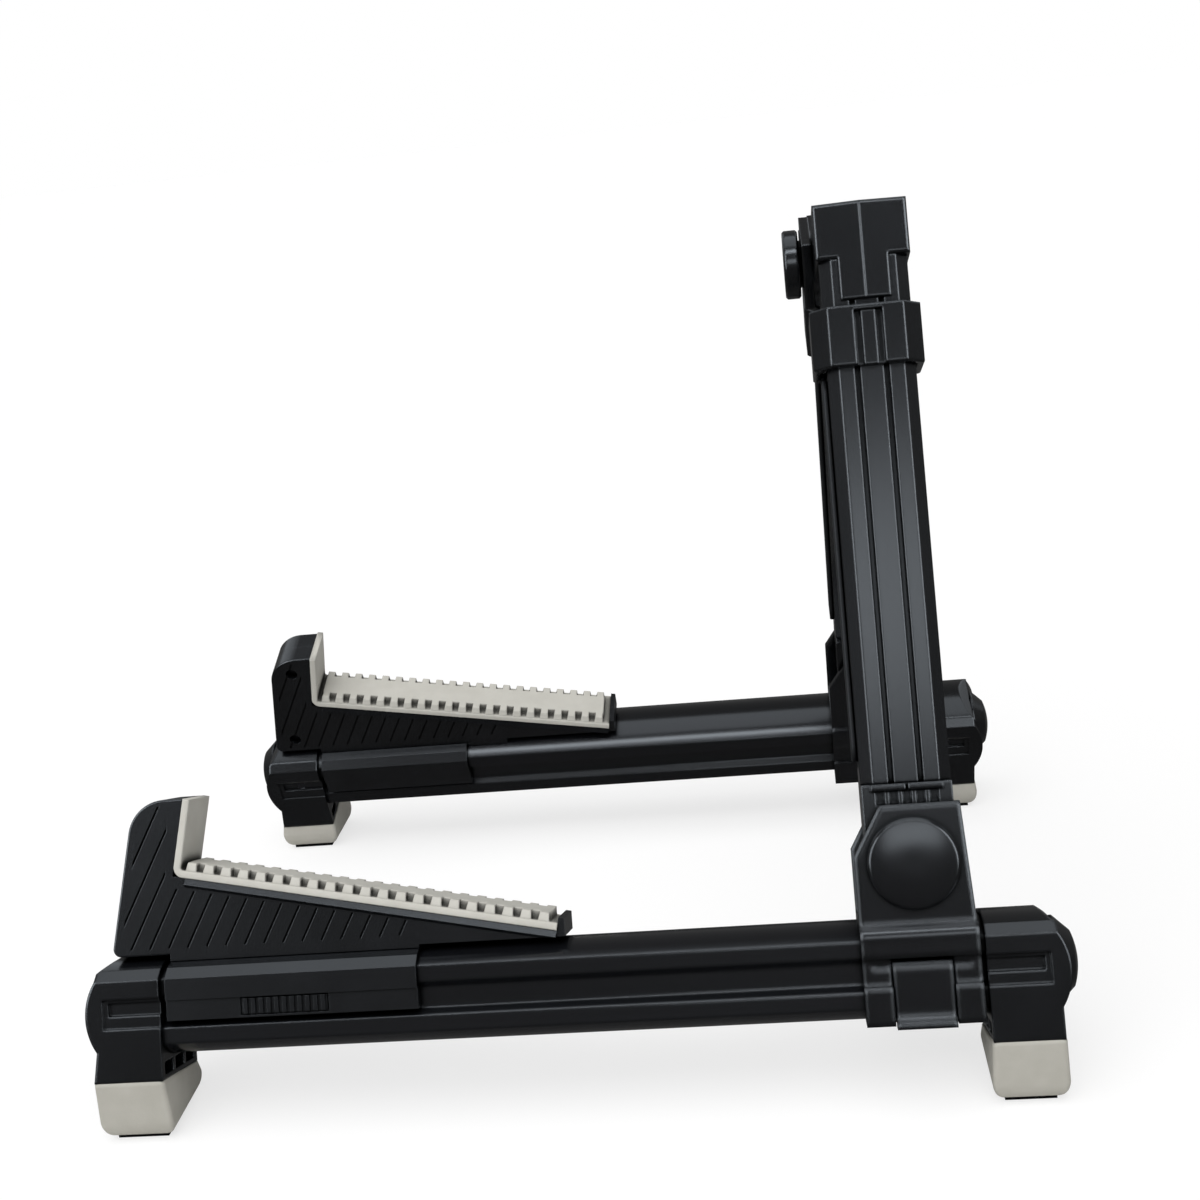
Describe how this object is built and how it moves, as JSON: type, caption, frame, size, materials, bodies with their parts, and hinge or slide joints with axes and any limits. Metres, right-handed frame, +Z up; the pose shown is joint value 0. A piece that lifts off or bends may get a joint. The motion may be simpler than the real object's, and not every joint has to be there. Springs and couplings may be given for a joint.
{
  "type": "guitar stand",
  "caption": "Folding A-frame guitar stand: leaning legs hinged at the top, each with a floor rail, a sliding padded cradle with a lip, an upright and rubber feet.",
  "frame": {"origin": "on the floor under the middle of the bounding box", "axes": "+X from the cradle lips to the rear along the rails, +Y from the left leg to the right leg, +Z up"},
  "size_m": [0.2846, 0.2236, 0.2389],
  "materials": {
    "black_aluminium": "black anodised, satin",
    "black_plastic": "fine satin moulding",
    "grey_rubber": "matt",
    "light_rubber": "matt",
    "black_rubber": "matt",
    "steel": "black oxide"
  },
  "bodies": {
    "left_upright_body": {"left_upright_tube": "black_aluminium", "left_upright_foot": "black_plastic", "left_guard_strip": "black_rubber", "left_head_front_half": "black_plastic", "left_head_rear_half": "black_plastic", "hinge_bolt": "steel", "hinge_washer": "steel"},
    "left_rail_body": {"left_rail": "black_aluminium", "left_front_cap": "black_plastic", "left_rear_cap": "black_plastic", "left_front_plug": "black_plastic", "left_rear_plug": "black_plastic", "left_cap_screws": "steel", "left_front_shoe": "grey_rubber", "left_rear_shoe": "grey_rubber", "left_floor_pads": "black_rubber", "left_fold_bracket": "black_plastic", "left_latch_pin": "steel", "left_pivot_pin": "steel", "left_pivot_disc": "black_plastic", "left_pivot_nut": "steel"},
    "left_cradle_body": {"left_cradle_outer_half": "black_plastic", "left_cradle_inner_half": "black_plastic", "left_cradle_pad": "light_rubber", "left_cradle_screws": "steel", "left_thumb_grip": "black_plastic"},
    "left_latch_body": {"left_latch_lever": "black_plastic"},
    "left_collar_body": {"left_collar": "black_plastic"},
    "right_upright_body": {"right_upright_tube": "black_aluminium", "right_upright_foot": "black_plastic", "right_guard_strip": "black_rubber", "right_head_front_half": "black_plastic", "right_head_rear_half": "black_plastic"},
    "right_rail_body": {"right_rail": "black_aluminium", "right_front_cap": "black_plastic", "right_rear_cap": "black_plastic", "right_front_plug": "black_plastic", "right_rear_plug": "black_plastic", "right_cap_screws": "steel", "right_front_shoe": "grey_rubber", "right_rear_shoe": "grey_rubber", "right_floor_pads": "black_rubber", "right_fold_bracket": "black_plastic", "right_latch_pin": "steel", "right_pivot_pin": "steel", "right_pivot_disc": "black_plastic", "right_pivot_nut": "steel"},
    "right_cradle_body": {"right_cradle_outer_half": "black_plastic", "right_cradle_inner_half": "black_plastic", "right_cradle_pad": "light_rubber", "right_cradle_screws": "steel", "right_thumb_grip": "black_plastic"},
    "right_latch_body": {"right_latch_lever": "black_plastic"},
    "right_collar_body": {"right_collar": "black_plastic"},
    "knob_body": {"hinge_knob": "black_plastic"}
  },
  "joints": [
    {"name": "top_hinge", "type": "hinge", "parent": "left_upright_body", "child": "right_upright_body", "pos_m": [0.0992, 0, 0.21999], "axis": [-1, 0, 0], "range_deg": [0, 40]},
    {"name": "knob_turn", "type": "hinge", "parent": "left_upright_body", "child": "knob_body", "pos_m": [0.0992, 0, 0.21999], "axis": [-1, 0, 0], "range_deg": [0, 270]},
    {"name": "left_rail_fold", "type": "hinge", "parent": "left_upright_body", "child": "left_rail_body", "pos_m": [0.0992, -0.08121, 0.06119], "axis": [0, 0.9397, -0.342], "range_deg": [0, 79]},
    {"name": "left_cradle_slide", "type": "slide", "parent": "left_rail_body", "child": "left_cradle_body", "axis": [-1, 0, 0], "range_m": [-0.06, 0]},
    {"name": "left_latch_swing", "type": "hinge", "parent": "left_rail_body", "child": "left_latch_body", "pos_m": [0.09935, -0.10299, 0.03996], "axis": [-1, 0, 0], "range_deg": [0, 50]},
    {"name": "left_collar_slide", "type": "slide", "parent": "left_upright_body", "child": "left_collar_body", "axis": [0, 0.342, 0.9397], "range_m": [-0.09, 0]},
    {"name": "right_rail_fold", "type": "hinge", "parent": "right_upright_body", "child": "right_rail_body", "pos_m": [0.0992, 0.08121, 0.06119], "axis": [0, 0.9397, 0.342], "range_deg": [0, 79]},
    {"name": "right_cradle_slide", "type": "slide", "parent": "right_rail_body", "child": "right_cradle_body", "axis": [-1, 0, 0], "range_m": [-0.06, 0]},
    {"name": "right_latch_swing", "type": "hinge", "parent": "right_rail_body", "child": "right_latch_body", "pos_m": [0.09935, 0.10299, 0.03996], "axis": [1, 0, 0], "range_deg": [0, 50]},
    {"name": "right_collar_slide", "type": "slide", "parent": "right_upright_body", "child": "right_collar_body", "axis": [0, -0.342, 0.9397], "range_m": [-0.09, 0]}
  ]
}
